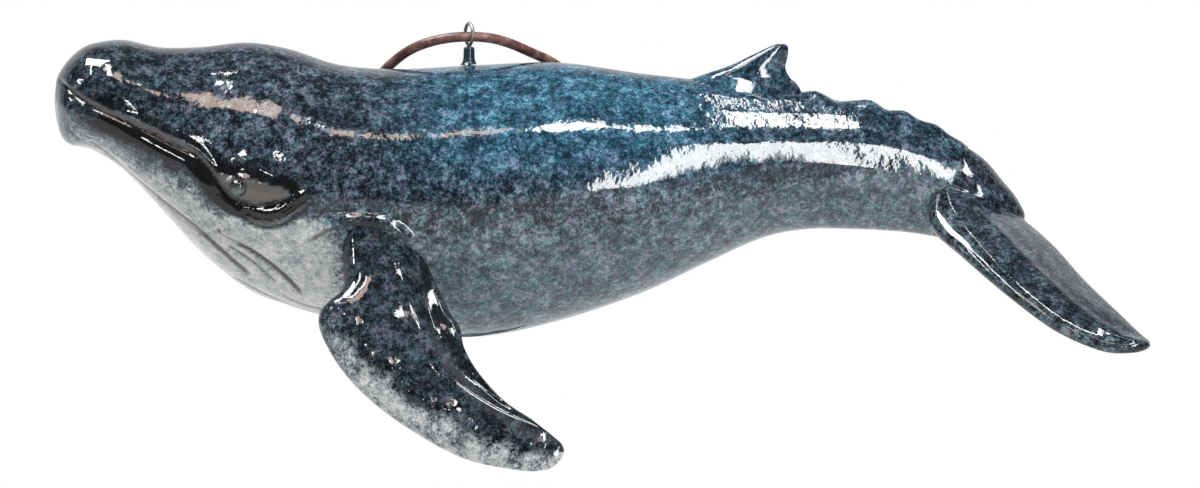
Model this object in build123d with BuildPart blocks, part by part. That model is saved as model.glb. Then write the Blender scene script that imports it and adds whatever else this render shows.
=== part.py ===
# Hanging whale ornament in glazed stoneware: a slip-cast hollow body with a
# luted tail and two luted pectoral fins, clay pellet eyes, a wire eye fired
# into a clay stem on its back, and a knotted leather thong.
# Millimetres, Z up, head towards -X, origin at the middle of the wire eye.
import os
from math import cos, pi, radians, sin, sqrt, tan

from build123d import *

os.makedirs("parts", exist_ok=True)

# Body
body_length = 199.0       # snout to the joint with the flukes
body_depth = 59.8         # back to belly at the deepest girth
body_half_width = 27.5    # middle to flank at the widest girth
snout_reach = 91.0        # snout ahead of the hanging eye
back_drop = 6.9           # back below the hanging eye
wall = 4.2                # cast shell
lute_gap = 0.3            # glaze line between luted pieces
overrun = 2.0             # how far a cut runs past what it cuts
girth_sides = 40          # flat strips round the body
cavity_sides = 14
leaf_sides = 14           # round a fin or a fluke

# Mouth, throat and eyes
mouth_width = 1.5
mouth_depth = 1.3
pleat_width = 0.9
pleat_depth = 0.8
eye_radius = 1.9
eye_stand = 1.0           # how far an eye stands out of its pad
pad_length = 16.0
pad_height = 6.4
pad_thickness = 4.4
pad_stand = 1.0
vent_bore = 1.2

# Back
dorsal_height = 12.4
dorsal_top = -2.2         # tip of the dorsal fin, from the hanging eye
dorsal_base = 24.6
dorsal_half_thickness = 3.2
dorsal_ahead = 48.2       # start of the dorsal fin behind the hanging eye
knuckle_radius = 6.0      # the first and largest

# Pectoral fins
fin_length = 67.0
fin_half_thickness = 4.3
fin_tuck = 2.2            # degrees that the right fin hangs lower than the left
knob_radius = 1.9

# Flukes
fluke_reach = 54.0        # joint to the tip, along the tail
fluke_half_span = 41.5
fluke_chord = 27.0
fluke_half_thickness = 3.8
fluke_pitch = 41.0        # degrees below level

# Hanging eye
ring_bore = 3.9
wire_diameter = 0.75
ring_turn = 22.0          # degrees that the ring is turned from square to the body
leg_spread = 0.85         # between the middles of the two legs
leg_bend = 0.8            # radius where a leg turns into the ring
leg_embed = 2.6           # depth of the legs in the wall
leg_clearance = 0.06
stem_radius = 1.25
stem_neck_radius = 1.1
stem_foot_radius = 2.1

# Thong
thong_diameter = 2.2
knot_length = 5.9
knot_core_radius = 2.5
knot_turns = ((0.32, 22.0), (0.68, -18.0))

# Girths of the body, nose to tail. Top and bottom: share of the length, and
# share of the depth above the back at the hanging eye. Then the shares of the
# half width and of the height at which it is widest, and the power that rounds
# the upper half: 1 is an ellipse, less is fuller.
girth_shares = (
    (0.0005, -0.083, 0.0005, -0.186, 0.10, 0.50, 0.95),
    (0.002, -0.046, 0.002, -0.212, 0.19, 0.50, 0.87),
    (0.007, -0.013, 0.007, -0.262, 0.32, 0.48, 0.79),
    (0.016, 0.026, 0.016, -0.291, 0.44, 0.44, 0.75),
    (0.029, 0.063, 0.029, -0.300, 0.53, 0.41, 0.75),
    (0.045, 0.084, 0.045, -0.318, 0.60, 0.39, 0.79),
    (0.076, 0.094, 0.076, -0.386, 0.68, 0.37, 0.87),
    (0.116, 0.067, 0.116, -0.524, 0.75, 0.36, 0.91),
    (0.160, 0.068, 0.160, -0.682, 0.82, 0.37, 0.95),
    (0.212, 0.084, 0.212, -0.822, 0.90, 0.41, 1.00),
    (0.259, 0.060, 0.259, -0.884, 0.96, 0.45, 1.00),
    (0.315, 0.002, 0.315, -0.938, 0.99, 0.48, 1.00),
    (0.381, -0.013, 0.381, -0.979, 1.00, 0.50, 1.00),
    (0.469, 0.002, 0.469, -0.998, 0.985, 0.50, 1.00),
    (0.558, 0.010, 0.558, -0.938, 0.92, 0.50, 1.03),
    (0.646, -0.029, 0.646, -0.840, 0.80, 0.50, 1.07),
    (0.713, -0.054, 0.713, -0.737, 0.68, 0.50, 1.11),
    (0.779, -0.084, 0.779, -0.638, 0.55, 0.50, 1.16),
    (0.840, -0.110, 0.829, -0.603, 0.45, 0.50, 1.20),
    (0.901, -0.142, 0.878, -0.602, 0.37, 0.50, 1.20),
    (0.947, -0.190, 0.920, -0.608, 0.32, 0.50, 1.20),
    (0.983, -0.248, 0.948, -0.617, 0.29, 0.50, 1.16),
    (1.009, -0.303, 0.969, -0.628, 0.27, 0.50, 1.11),
)
cavity_shares = (0.15, 0.95)      # where the hollow starts and ends
# Lines drawn on the flank in side view: share of the length, share of the depth
mouth_shares = (
    (-0.006, 0.010), (0.0105, -0.026), (0.029, -0.090), (0.076, -0.182),
    (0.140, -0.274), (0.166, -0.330), (0.186, -0.435), (0.205, -0.506),
    (0.232, -0.524), (0.262, -0.500),
)
flank_pleat_shares = (
    ((0.068, -0.345), (0.116, -0.480), (0.160, -0.602), (0.188, -0.680), (0.215, -0.760)),
    ((0.180, -0.612), (0.215, -0.665), (0.250, -0.750), (0.276, -0.835)),
    ((0.198, -0.655), (0.222, -0.722), (0.246, -0.792)),
)
# Lines drawn on the belly in plan: share of the length, share of the half width
belly_pleat_shares = (
    ((0.075, 0.0), (0.18, 0.0), (0.30, 0.0)),
    ((0.080, 0.20), (0.18, 0.27), (0.30, 0.22)),
    ((0.110, 0.40), (0.20, 0.50), (0.30, 0.44)),
)
eye_shares = (0.205, -0.443)
pad_shares = (0.224, -0.452)
pad_lean = -9.0                   # degrees, in side view
vent_shares = (0.182, -0.605)

# Dorsal fin, from inside the back to the tip: shares of its height, of its
# base for the leading and the trailing edge, and of its thickness
dorsal_shares = (
    (0.00, 0.00, 1.00, 1.00),
    (0.28, 0.06, 0.91, 0.92),
    (0.50, 0.24, 0.875, 0.78),
    (0.71, 0.475, 0.875, 0.60),
    (0.89, 0.665, 0.89, 0.43),
    (1.00, 0.78, 0.865, 0.24),
)
# Knuckles behind it: share of the body's length, of its depth, and of the
# largest knuckle's radius
knuckle_shares = (
    (0.840, -0.178, 1.00),
    (0.899, -0.205, 0.92),
    (0.938, -0.240, 0.80),
    (0.972, -0.285, 0.72),
    (0.996, -0.335, 0.62),
)

# Left pectoral fin, root to tip: leading and trailing edge in side view and the
# distance out from the middle plane, all as shares of the fin's length from the
# hanging eye, then the share of its thickness
fin_shares = (
    (-0.430, -0.594, -0.178, -0.660, 0.306, 1.50),
    (-0.407, -0.824, -0.121, -0.775, 0.396, 1.35),
    (-0.486, -0.919, -0.059, -0.903, 0.463, 1.15),
    (-0.443, -1.041, -0.026, -0.952, 0.507, 1.00),
    (-0.348, -1.159, -0.010, -1.020, 0.546, 0.92),
    (-0.210, -1.267, 0.043, -1.110, 0.585, 0.80),
    (-0.020, -1.373, 0.135, -1.205, 0.625, 0.64),
    (0.161, -1.412, 0.233, -1.267, 0.649, 0.46),
    (0.250, -1.409, 0.302, -1.333, 0.660, 0.22),
)
fin_inner_share = 0.80            # inner face's bulge of the outer one's
knob_steps = (2.05, 2.6, 3.2, 3.8, 4.4, 5.0, 5.6, 6.3)   # sections from the root
knob_inset_share = 0.45           # knob's middle behind the leading edge, of its radius
knob_taper_share = 0.12           # how much smaller a knob is, a section further on
leaf_lead_share = 0.35            # how much fuller a blade is ahead of its middle

# Right lobe of the flukes, root to tip: shares of the reach, of the half span,
# of the half thickness above the tail's line, of the chord and thickness, and
# the degrees that its leading edge droops
lobe_shares = (
    (0.060, 0.060, -0.15, 0.66, 1.10, 24.0),
    (0.160, 0.200, -0.33, 0.92, 1.08, 33.0),
    (0.325, 0.405, -0.35, 1.00, 0.90, 32.0),
    (0.530, 0.620, -0.52, 0.90, 0.74, 33.0),
    (0.735, 0.805, -0.46, 0.72, 0.60, 38.0),
    (0.890, 0.925, -0.09, 0.46, 0.48, 43.0),
    (0.962, 0.975, 0.40, 0.28, 0.36, 40.0),
    (0.988, 0.992, 0.62, 0.13, 0.20, 38.0),
)
lobe_under_share = 0.85
# Root of the flukes behind the joint, as the body's girths
root_shares = (
    (1.009, -0.303, 0.969, -0.628, 0.27, 0.50, 1.11),
    (1.030, -0.355, 0.995, -0.640, 0.30, 0.50, 1.06),
    (1.0475, -0.425, 1.020, -0.660, 0.28, 0.50, 1.03),
    (1.062, -0.483, 1.045, -0.660, 0.20, 0.50, 1.03),
    (1.073, -0.550, 1.065, -0.620, 0.10, 0.50, 1.03),
)

# Route of the thong from its knot behind the body, over the back, through the
# wire eye and down again
thong_route = (
    (-1.9, 30.4, -52.2), (-3.8, 30.4, -48.5), (-7.8, 30.4, -44.2), (-13.0, 30.2, -38.8),
    (-17.2, 29.5, -32.6), (-20.2, 27.8, -26.0), (-21.9, 24.7, -19.6), (-22.0, 20.2, -14.0),
    (-20.3, 14.8, -9.7), (-17.4, 8.8, -6.7), (-13.6, 4.3, -3.7), (-9.2, 1.3, -1.8),
    (-3.6, -0.5, -0.62), (3.6, 0.7, -0.58), (8.8, 2.7, -1.9), (13.6, 5.6, -4.1),
    (18.6, 10.4, -6.3), (22.6, 16.2, -9.9), (24.4, 20.6, -15.0), (24.0, 24.2, -21.2),
    (21.8, 26.7, -27.9), (18.2, 28.4, -34.4), (13.0, 29.5, -40.0), (7.2, 30.2, -44.8),
    (2.9, 30.4, -48.5), (0.9, 30.4, -52.2),
)
thong_fill_share = 0.45           # of the shorter run taken up by each bend
tail_routes = (
    ((-1.5, 30.4, -57.9), (-2.2, 30.7, -60.6), (-3.7, 30.6, -63.4)),
    ((0.5, 30.4, -57.9), (1.3, 30.9, -60.4), (1.7, 31.9, -62.8)),
)


def side_point(along, height):
    # point of the middle plane, from shares of the body's length and depth
    return Vector(along * body_length - snout_reach, 0, height * body_depth - back_drop)


def girth_plane(row):
    # plane across the body with its origin on the keel and Y towards the ridge
    top = side_point(row[0], row[1])
    bottom = side_point(row[2], row[3])
    upright = (top - bottom).normalized()
    return Plane(origin=bottom, x_dir=(0, 1, 0), z_dir=(upright.Z, 0, -upright.X))


def girth_height(row):
    return (side_point(row[0], row[1]) - side_point(row[2], row[3])).length


def body_form(rows, inset, sides):
    # lofted body, drawn in by the inset on every side
    with BuildPart() as form:
        for row in rows:
            high = girth_height(row) - inset
            half = row[4] * body_half_width - inset
            middle = inset + (high - inset) * row[5]
            corners = []
            for step in range(sides):
                turn = 2 * pi * step / sides
                power = row[6] if cos(turn) > 0 else 1
                rise = high - middle if cos(turn) > 0 else inset - middle
                out = half if sin(turn) > 0 else -half
                corners.append((
                    out * abs(sin(turn)) ** power,
                    middle + rise * abs(cos(turn)) ** power,
                ))
            with BuildSketch(girth_plane(row)):
                with BuildLine():
                    Polyline(*corners, close=True)
                make_face()
        loft()
    return form.part


def flank_groove(shares, width, core):
    # groove of even depth on both flanks, along a line drawn in side view
    with BuildPart() as groove:
        with BuildSketch(Plane.XZ):
            with BuildLine():
                Spline([(side_point(*s).X, side_point(*s).Z) for s in shares])
            trace(line_width=width)
        extrude(amount=body_half_width + overrun, both=True)
        add(core, mode=Mode.SUBTRACT)
    return groove.part


def belly_groove(shares, width, core):
    # groove of even depth on the belly, along a line drawn in plan
    keel = -body_depth - back_drop - overrun
    points = [(side_point(s[0], 0).X, s[1] * body_half_width) for s in shares]
    with BuildPart() as groove:
        with BuildSketch(Plane.XY.offset(keel)):
            with BuildLine():
                Spline(points)
            trace(line_width=width)
            if points[0][1] > 0:
                mirror(about=Plane.XZ)
        extrude(amount=body_depth / 2)
        add(core, mode=Mode.SUBTRACT)
    return groove.part


def flank_hit(form, shares):
    # point and outward direction where a line square to the side view leaves the left flank
    axis = Axis(side_point(*shares), (0, -1, 0))
    hits = [hit for face in form.faces() for hit in face.find_intersection_points(axis)]
    return min(hits, key=lambda hit: hit[0].Y)


def eye_pad(point, out, side):
    # almond swelling round an eye, on the left flank for side 1 and the right for -1
    outward = Vector(out.X, out.Y * side, out.Z)
    middle = Vector(point.X, point.Y * side, point.Z) + outward * (pad_stand - pad_thickness / 2)
    plane = Plane(origin=middle, x_dir=(1, 0, 0), z_dir=outward)
    shape = scale(Sphere(pad_length / 2), by=(1, pad_height / pad_length, pad_thickness / pad_length))
    return plane.location * Rot(0, 0, pad_lean * side) * shape


def leaf(chord, half_thickness, under_share):
    # blade section: blunt leading edge at -X, thin trailing edge at +X
    corners = []
    for step in range(leaf_sides):
        turn = 2 * pi * step / leaf_sides
        rise = half_thickness * sin(turn) * (1 + leaf_lead_share * cos(turn))
        corners.append((-chord / 2 * cos(turn), rise if rise > 0 else rise * under_share))
    with BuildSketch() as section:
        with BuildLine():
            Polyline(*corners, close=True)
        make_face()
    return section.sketch


# Forms that the body's pieces share
hull = body_form(girth_shares, 0, girth_sides)
seat_form = body_form(girth_shares, -lute_gap, girth_sides)
cavity_rows = [row for row in girth_shares if cavity_shares[0] < row[0] < cavity_shares[1]]
cavity = body_form(cavity_rows[::2], wall, cavity_sides)
mouth_core = body_form(girth_shares[1:], mouth_depth, girth_sides)
pleat_core = body_form(girth_shares[1:], pleat_depth, girth_sides)
mouth = flank_groove(mouth_shares, mouth_width, mouth_core)
pleats = [flank_groove(shares, pleat_width, pleat_core) for shares in flank_pleat_shares]
pleats += [belly_groove(shares, pleat_width, pleat_core) for shares in belly_pleat_shares]

# Eyes on their pads, and the vent, all square to the flank
pad_point, pad_out = flank_hit(hull, pad_shares)
pads = [eye_pad(pad_point, pad_out, side) for side in (1, -1)]
eye_point, eye_out = flank_hit(hull, eye_shares)
eye_middle = eye_point + eye_out * (pad_stand + eye_stand - eye_radius)
eye_places = [eye_middle, Vector(eye_middle.X, -eye_middle.Y, eye_middle.Z)]
vent_point, vent_out = flank_hit(hull, vent_shares)

# Hanging eye: middle of the bend where a leg turns into the ring, and the
# height at which the bend meets the ring
ring_radius = (ring_bore + wire_diameter) / 2
ring_across = Vector(sin(radians(ring_turn)), -cos(radians(ring_turn)), 0)
bend_out = leg_spread / 2 + leg_bend
stem_top = -sqrt((ring_radius + leg_bend) ** 2 - bend_out ** 2)
bend_share = ring_radius / (ring_radius + leg_bend)
leg_bottom = -back_drop - leg_embed
leg_places = [ring_across * (leg_spread / 2), ring_across * (-leg_spread / 2)]

# Tail joint: the plane of the last girth, and the axes of the flukes behind it
joint_plane = girth_plane(girth_shares[-1])
joint_middle = joint_plane.origin + joint_plane.y_dir * (girth_height(girth_shares[-1]) / 2)
fluke_plane = Plane(
    origin=joint_middle,
    x_dir=(cos(radians(fluke_pitch)), 0, -sin(radians(fluke_pitch))),
    z_dir=(sin(radians(fluke_pitch)), 0, cos(radians(fluke_pitch))),
)

# Cast body with the dorsal fin, the knuckles and the eye pads of the mould
with BuildPart() as body_shell:
    add(hull)
    for height, lead, trail, thick in dorsal_shares:
        with BuildSketch(Plane.XY.offset(dorsal_top + dorsal_height * (height - 1))):
            with Locations((dorsal_ahead + dorsal_base * (lead + trail) / 2, 0)):
                add(leaf(dorsal_base * (trail - lead), dorsal_half_thickness * thick, 1))
    loft()
    for along, height, size in knuckle_shares:
        with Locations(side_point(along, height)):
            Sphere(knuckle_radius * size)
    split(bisect_by=joint_plane, keep=Keep.BOTTOM)
    for pad in pads:
        add(pad)
    with Locations(*eye_places):
        Sphere(eye_radius + lute_gap, mode=Mode.SUBTRACT)
    add(cavity, mode=Mode.SUBTRACT)
    add(mouth, mode=Mode.SUBTRACT)
    for pleat in pleats:
        add(pleat, mode=Mode.SUBTRACT)
    with BuildSketch(Plane(origin=vent_point - vent_out * (wall + overrun), z_dir=vent_out)):
        Circle(vent_bore / 2)
    extrude(amount=wall + overrun * 2, mode=Mode.SUBTRACT)
    with BuildSketch(Plane.XY.offset(leg_bottom)):
        with Locations(*leg_places):
            Circle(wire_diameter / 2 + leg_clearance)
    extrude(amount=leg_embed + overrun, mode=Mode.SUBTRACT)

# Pectoral fins: one blank with knobs along its leading edge, seated on either flank
fin_leads = [Vector(row[0], -row[4], row[1]) * fin_length for row in fin_shares]
fin_trails = [Vector(row[2], -row[4], row[3]) * fin_length for row in fin_shares]
fin_middles = [(lead + trail) / 2 for lead, trail in zip(fin_leads, fin_trails)]

with BuildPart() as fin_blank:
    for index, row in enumerate(fin_shares):
        chordwise = fin_trails[index] - fin_leads[index]
        ahead = fin_middles[min(index + 1, len(fin_middles) - 1)]
        behind = fin_middles[max(index - 1, 0)]
        across = (ahead - behind).cross(chordwise)
        plane = Plane(origin=fin_middles[index], x_dir=chordwise, z_dir=chordwise.cross(across))
        with BuildSketch(plane):
            add(leaf(chordwise.length, row[5] * fin_half_thickness, fin_inner_share))
    loft(ruled=True)
    for step in knob_steps:
        index = int(step)
        size = knob_radius * (1 - knob_taper_share * (step - knob_steps[0]))
        lead = fin_leads[index] + (fin_leads[index + 1] - fin_leads[index]) * (step - index)
        inward = (fin_trails[index] - fin_leads[index]).normalized()
        with Locations(lead + inward * (knob_inset_share * size)):
            Sphere(size)

# Each fin is what stands out of the body's form, less the joint line
with BuildPart() as left_pectoral_fin:
    add(fin_blank.part)
    add(seat_form, mode=Mode.SUBTRACT)

with BuildPart() as right_pectoral_fin:
    far_fin = mirror(fin_blank.part, about=Plane.XZ, mode=Mode.PRIVATE)
    add(far_fin.rotate(Axis(fin_middles[0], (0, 1, 0)), fin_tuck))
    add(seat_form, mode=Mode.SUBTRACT)

# Flukes: a root that carries on from the body, and two drooping lobes
lobe_points = [
    Vector(fluke_reach * a, fluke_half_span * y, fluke_half_thickness * z)
    for a, y, z, chord, thick, droop in lobe_shares
]

with BuildPart() as tail_flukes:
    for index, row in enumerate(lobe_shares):
        ahead = lobe_points[min(index + 1, len(lobe_points) - 1)]
        behind = lobe_points[max(index - 1, 0)]
        along = (ahead - behind).normalized()
        level = Vector(along.Y, -along.X, 0).normalized() * cos(radians(row[5]))
        chordwise = level + Vector(0, 0, sin(radians(row[5])))
        plane = Plane(
            origin=fluke_plane.from_local_coords(lobe_points[index]),
            x_dir=fluke_plane.from_local_coords(chordwise) - fluke_plane.origin,
            z_dir=fluke_plane.from_local_coords(along) - fluke_plane.origin,
        )
        with BuildSketch(plane):
            add(leaf(row[3] * fluke_chord, row[4] * fluke_half_thickness, lobe_under_share))
    loft()
    mirror(about=Plane.XZ)
    add(body_form(root_shares, 0, girth_sides))
    add(seat_form, mode=Mode.SUBTRACT)
    split(bisect_by=joint_plane, keep=Keep.TOP)

# Eyes pressed into their pads
with BuildPart() as left_eye:
    with Locations(eye_middle):
        Sphere(eye_radius)

with BuildPart() as right_eye:
    mirror(left_eye.part, about=Plane.XZ)

# Wire eye: one wire up out of the wall, round the ring and down again
ring_plane = Plane(origin=(0, 0, 0), x_dir=ring_across, z_dir=ring_across.cross(Vector(0, 0, 1)))
with BuildPart() as wire_eye:
    with BuildLine(ring_plane):
        leg = Line((leg_spread / 2, leg_bottom), (leg_spread / 2, stem_top))
        bend = TangentArc(leg @ 1, (bend_out * bend_share, stem_top * bend_share), tangent=leg % 1)
        TangentArc(bend @ 1, (0, ring_radius), tangent=bend % 1)
    with BuildSketch(Plane.XY.offset(leg_bottom)):
        with Locations(leg_places[0]):
            Circle(wire_diameter / 2)
    sweep()
    mirror(about=Plane(origin=(0, 0, 0), z_dir=ring_across))

# Clay stem smoothed up round the legs
with BuildPart() as eye_stem:
    with BuildSketch(Plane.XZ):
        with BuildLine():
            Polyline(
                (stem_neck_radius, stem_top), (0, stem_top), (0, leg_bottom),
                (stem_foot_radius, leg_bottom), (stem_foot_radius, -back_drop),
            )
            Spline(
                (stem_foot_radius, -back_drop), (stem_radius, -back_drop + stem_foot_radius),
                (stem_radius, stem_top - stem_radius), (stem_neck_radius, stem_top),
            )
        make_face()
    revolve(axis=Axis.Z)
    add(seat_form, mode=Mode.SUBTRACT)
    with BuildSketch(Plane.XY.offset(leg_bottom)):
        with Locations(*leg_places):
            Circle(wire_diameter / 2 + leg_clearance)
    extrude(amount=stem_top - leg_bottom + overrun, mode=Mode.SUBTRACT)


def bend_radii(route):
    # radius at each inner point, from the shorter run beside it and half its turn
    radii = []
    for before, here, after in zip(route, route[1:], route[2:]):
        first = Vector(here) - Vector(before)
        second = Vector(after) - Vector(here)
        half_turn = radians(first.get_angle(second)) / 2
        radii.append(thong_fill_share * min(first.length, second.length) / tan(half_turn))
    return radii


# Thong: one tube from the knot, through the wire eye and back to the knot
thong_radii = bend_radii(thong_route)
with BuildPart() as leather_cord:
    with BuildLine() as thong_line:
        FilletPolyline(*thong_route, radius=thong_radii)
    with BuildSketch(Plane(origin=thong_line.line @ 0, z_dir=thong_line.line % 0)):
        Circle(thong_diameter / 2)
    sweep()

# Knot: two tight turns round a core, with two cut ends
knot_top = thong_route[0][2]
knot_place = Vector(thong_route[0][0] + thong_route[-1][0], thong_route[0][1] * 2, 0) / 2
with BuildPart() as cord_knot:
    with BuildSketch(Plane.XY.offset(knot_top)):
        with Locations(knot_place):
            Circle(knot_core_radius)
    extrude(amount=-knot_length)
    for drop_share, lean in knot_turns:
        middle = knot_place + Vector(0, 0, knot_top - drop_share * knot_length)
        with Locations(Location(middle, (lean, lean / 2, 0))):
            Torus(knot_core_radius - thong_diameter / 4, thong_diameter / 2)
    for route in tail_routes:
        with BuildLine() as tail_line:
            FilletPolyline(*route, radius=bend_radii(route))
        with BuildSketch(Plane(origin=tail_line.line @ 0, z_dir=tail_line.line % 0)):
            Circle(thong_diameter / 2)
        sweep()
    add(leather_cord.part, mode=Mode.SUBTRACT)

print("thong bends", [round(radius, 1) for radius in thong_radii])
thong_length = sum(edge.length for edge in thong_line.edges())
tube_volume = pi * thong_diameter ** 2 / 4 * thong_length
print("thong length", round(thong_length, 1))
print("thong volume", round(leather_cord.part.volume, 1), "of", round(tube_volume, 1))

pieces = {
    "body_shell": body_shell, "left_pectoral_fin": left_pectoral_fin,
    "right_pectoral_fin": right_pectoral_fin, "tail_flukes": tail_flukes,
    "left_eye": left_eye, "right_eye": right_eye, "wire_eye": wire_eye,
    "eye_stem": eye_stem, "leather_cord": leather_cord, "cord_knot": cord_knot,
}
for name, piece in pieces.items():
    piece.part.label = name
    export_step(piece.part, f"parts/{name}.step")
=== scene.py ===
import math

import bmesh
import bpy
from mathutils import Matrix, Vector, noise


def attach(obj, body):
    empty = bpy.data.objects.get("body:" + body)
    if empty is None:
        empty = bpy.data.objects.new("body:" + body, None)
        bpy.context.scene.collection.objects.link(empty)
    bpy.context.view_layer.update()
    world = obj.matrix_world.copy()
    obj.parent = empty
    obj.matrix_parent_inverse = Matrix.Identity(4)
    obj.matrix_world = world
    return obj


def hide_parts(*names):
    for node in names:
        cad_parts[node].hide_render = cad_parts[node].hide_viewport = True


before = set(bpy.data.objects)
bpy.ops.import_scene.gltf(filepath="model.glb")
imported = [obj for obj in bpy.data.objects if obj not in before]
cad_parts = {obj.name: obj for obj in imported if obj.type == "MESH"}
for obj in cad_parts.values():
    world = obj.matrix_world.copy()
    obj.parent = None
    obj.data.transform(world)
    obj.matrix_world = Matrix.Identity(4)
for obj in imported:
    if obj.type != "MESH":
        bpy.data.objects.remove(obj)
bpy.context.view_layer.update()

mm = 0.001
weld = 0.002 * mm            # points closer than this become one
whale = {
    "length": 0.199,         # snout to the joint with the flukes
    "depth": 0.0598,
    "halfWidth": 0.0275,
    "snoutReach": 0.091,     # snout ahead of the hanging eye
    "backDrop": 0.0069,      # back below the hanging eye
}
photo = {
    "eyeAt": (469.0, 34.0),  # pixel of the hanging eye in the photograph
    "pixel": 0.22 * mm,      # a pixel's size on the whale's middle plane
}

# The body's girths, nose to tail, as shares: top along, height, bottom along,
# height, half width, widest height, power of the upper half
girthRows = (
    (-0.0004, -0.126, -0.0004, -0.146, 0.02, 0.50, 0.95),
    (0.0000, -0.105, 0.0000, -0.166, 0.06, 0.50, 0.95),
    (0.0008, -0.078, 0.0008, -0.192, 0.12, 0.50, 0.93),
    (0.002, -0.046, 0.002, -0.216, 0.19, 0.50, 0.87),
    (0.007, -0.013, 0.007, -0.262, 0.32, 0.48, 0.79),
    (0.016, 0.026, 0.016, -0.291, 0.44, 0.44, 0.75),
    (0.029, 0.063, 0.029, -0.300, 0.53, 0.41, 0.75),
    (0.045, 0.084, 0.045, -0.318, 0.60, 0.39, 0.79),
    (0.076, 0.094, 0.076, -0.386, 0.68, 0.37, 0.87),
    (0.116, 0.067, 0.116, -0.524, 0.75, 0.36, 0.91),
    (0.160, 0.068, 0.160, -0.682, 0.82, 0.37, 0.95),
    (0.212, 0.084, 0.212, -0.822, 0.90, 0.41, 1.00),
    (0.259, 0.060, 0.259, -0.884, 0.96, 0.45, 1.00),
    (0.315, 0.002, 0.315, -0.938, 0.99, 0.48, 1.00),
    (0.381, -0.013, 0.381, -0.979, 1.00, 0.50, 1.00),
    (0.469, 0.002, 0.469, -0.998, 0.985, 0.50, 1.00),
    (0.558, 0.010, 0.558, -0.938, 0.92, 0.50, 1.03),
    (0.646, -0.029, 0.646, -0.840, 0.80, 0.50, 1.07),
    (0.713, -0.054, 0.713, -0.737, 0.68, 0.50, 1.11),
    (0.779, -0.084, 0.779, -0.638, 0.55, 0.50, 1.16),
    (0.840, -0.110, 0.829, -0.603, 0.45, 0.50, 1.20),
    (0.901, -0.142, 0.878, -0.602, 0.37, 0.50, 1.20),
    (0.947, -0.190, 0.920, -0.608, 0.32, 0.50, 1.20),
    (0.983, -0.248, 0.948, -0.617, 0.29, 0.50, 1.16),
    (1.009, -0.303, 0.969, -0.628, 0.27, 0.50, 1.11),
)


def sidePoint(along, height):
    # place in the whale's middle plane, from shares of its length and depth
    return Vector((
        along * whale["length"] - whale["snoutReach"], 0,
        height * whale["depth"] - whale["backDrop"],
    ))


def fromPhoto(pixel, out=0.0):
    # place of a pixel of the photograph, out from the middle plane to the left
    x = (pixel[0] - photo["eyeAt"][0]) * photo["pixel"]
    z = (photo["eyeAt"][1] - pixel[1]) * photo["pixel"]
    return Vector((x, -out, z))


def blendRows(rows, step):
    # row of a table between two others, on a smooth curve through all of them
    last = len(rows) - 1
    index = min(max(int(step), 0), last - 1)
    part = step - index
    a, b, c, d = (rows[min(max(index + k, 0), last)] for k in (-1, 0, 1, 2))
    return [
        0.5 * (2 * q + (r - p) * part + (2 * p - 5 * q + 4 * r - s) * part ** 2
               + (3 * q - p - 3 * r + s) * part ** 3)
        for p, q, r, s in zip(a, b, c, d)
    ]


def smoothStep(low, high, value):
    t = min(max((value - low) / (high - low), 0), 1)
    return t * t * (3 - 2 * t)


def bell(gap, width):
    return math.exp(-(gap / width) ** 2)


def makeLine(pixels, perSpan=6, **values):
    # smooth line in side view through pixels of the photograph
    count = (len(pixels) - 1) * perSpan
    points = [fromPhoto(blendRows(pixels, k / perSpan)) for k in range(count + 1)]
    xs, zs = [point.x for point in points], [point.z for point in points]
    spans = [(a.x, a.z, b.x - a.x, b.z - a.z) for a, b in zip(points, points[1:])]
    return {"spans": spans, "box": (min(xs), max(xs), min(zs), max(zs)), **values}


def lineHit(line, point, reach):
    # distance from a line in side view, height above it (negative below) and share along it
    x, z = point.x, point.z
    left, right, bottom, top = line["box"]
    if not (left - reach < x < right + reach and bottom - reach < z < top + reach):
        return None
    best, bestPart, bestSide = 1.0, 0.0, 1.0
    for index, (ax, az, dx, dz) in enumerate(line["spans"]):
        px, pz = x - ax, z - az
        part = min(max((px * dx + pz * dz) / (dx * dx + dz * dz), 0), 1)
        gap = math.hypot(px - part * dx, pz - part * dz)
        if gap < best:
            best, bestPart, bestSide = gap, index + part, dx * pz - dz * px
    return best, math.copysign(best, bestSide), bestPart / len(line["spans"])


def stripe(value, low, high, soft=0.15 * mm):
    # 1 between two heights, with soft edges
    return smoothStep(low - soft, low + soft, value) * (1 - smoothStep(high - soft, high + soft, value))


def wrapGrid(columns, rows):
    # flat grid to wrap round a form, with x along it and y round it from 0 to 1
    bm = bmesh.new()
    bmesh.ops.create_grid(bm, x_segments=columns, y_segments=rows, size=0.5)
    bmesh.ops.translate(bm, vec=(0.5, 0.5, 0), verts=bm.verts)
    return bm


def closeForm(bm):
    bmesh.ops.remove_doubles(bm, verts=bm.verts, dist=weld)
    bmesh.ops.holes_fill(bm, edges=[edge for edge in bm.edges if edge.is_boundary], sides=0)
    bmesh.ops.recalc_face_normals(bm, faces=bm.faces)


def meshPiece(name, bm, material):
    for face in bm.faces:
        face.smooth = True
    mesh = bpy.data.meshes.new(name)
    bm.to_mesh(mesh)
    bm.free()
    piece = bpy.data.objects.new(name, mesh)
    bpy.context.scene.collection.objects.link(piece)
    mesh.materials.append(material)
    return piece


def ridePiece(piece, slot, *nodes):
    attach(piece, "root")
    if nodes:
        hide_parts(*nodes)


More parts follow.
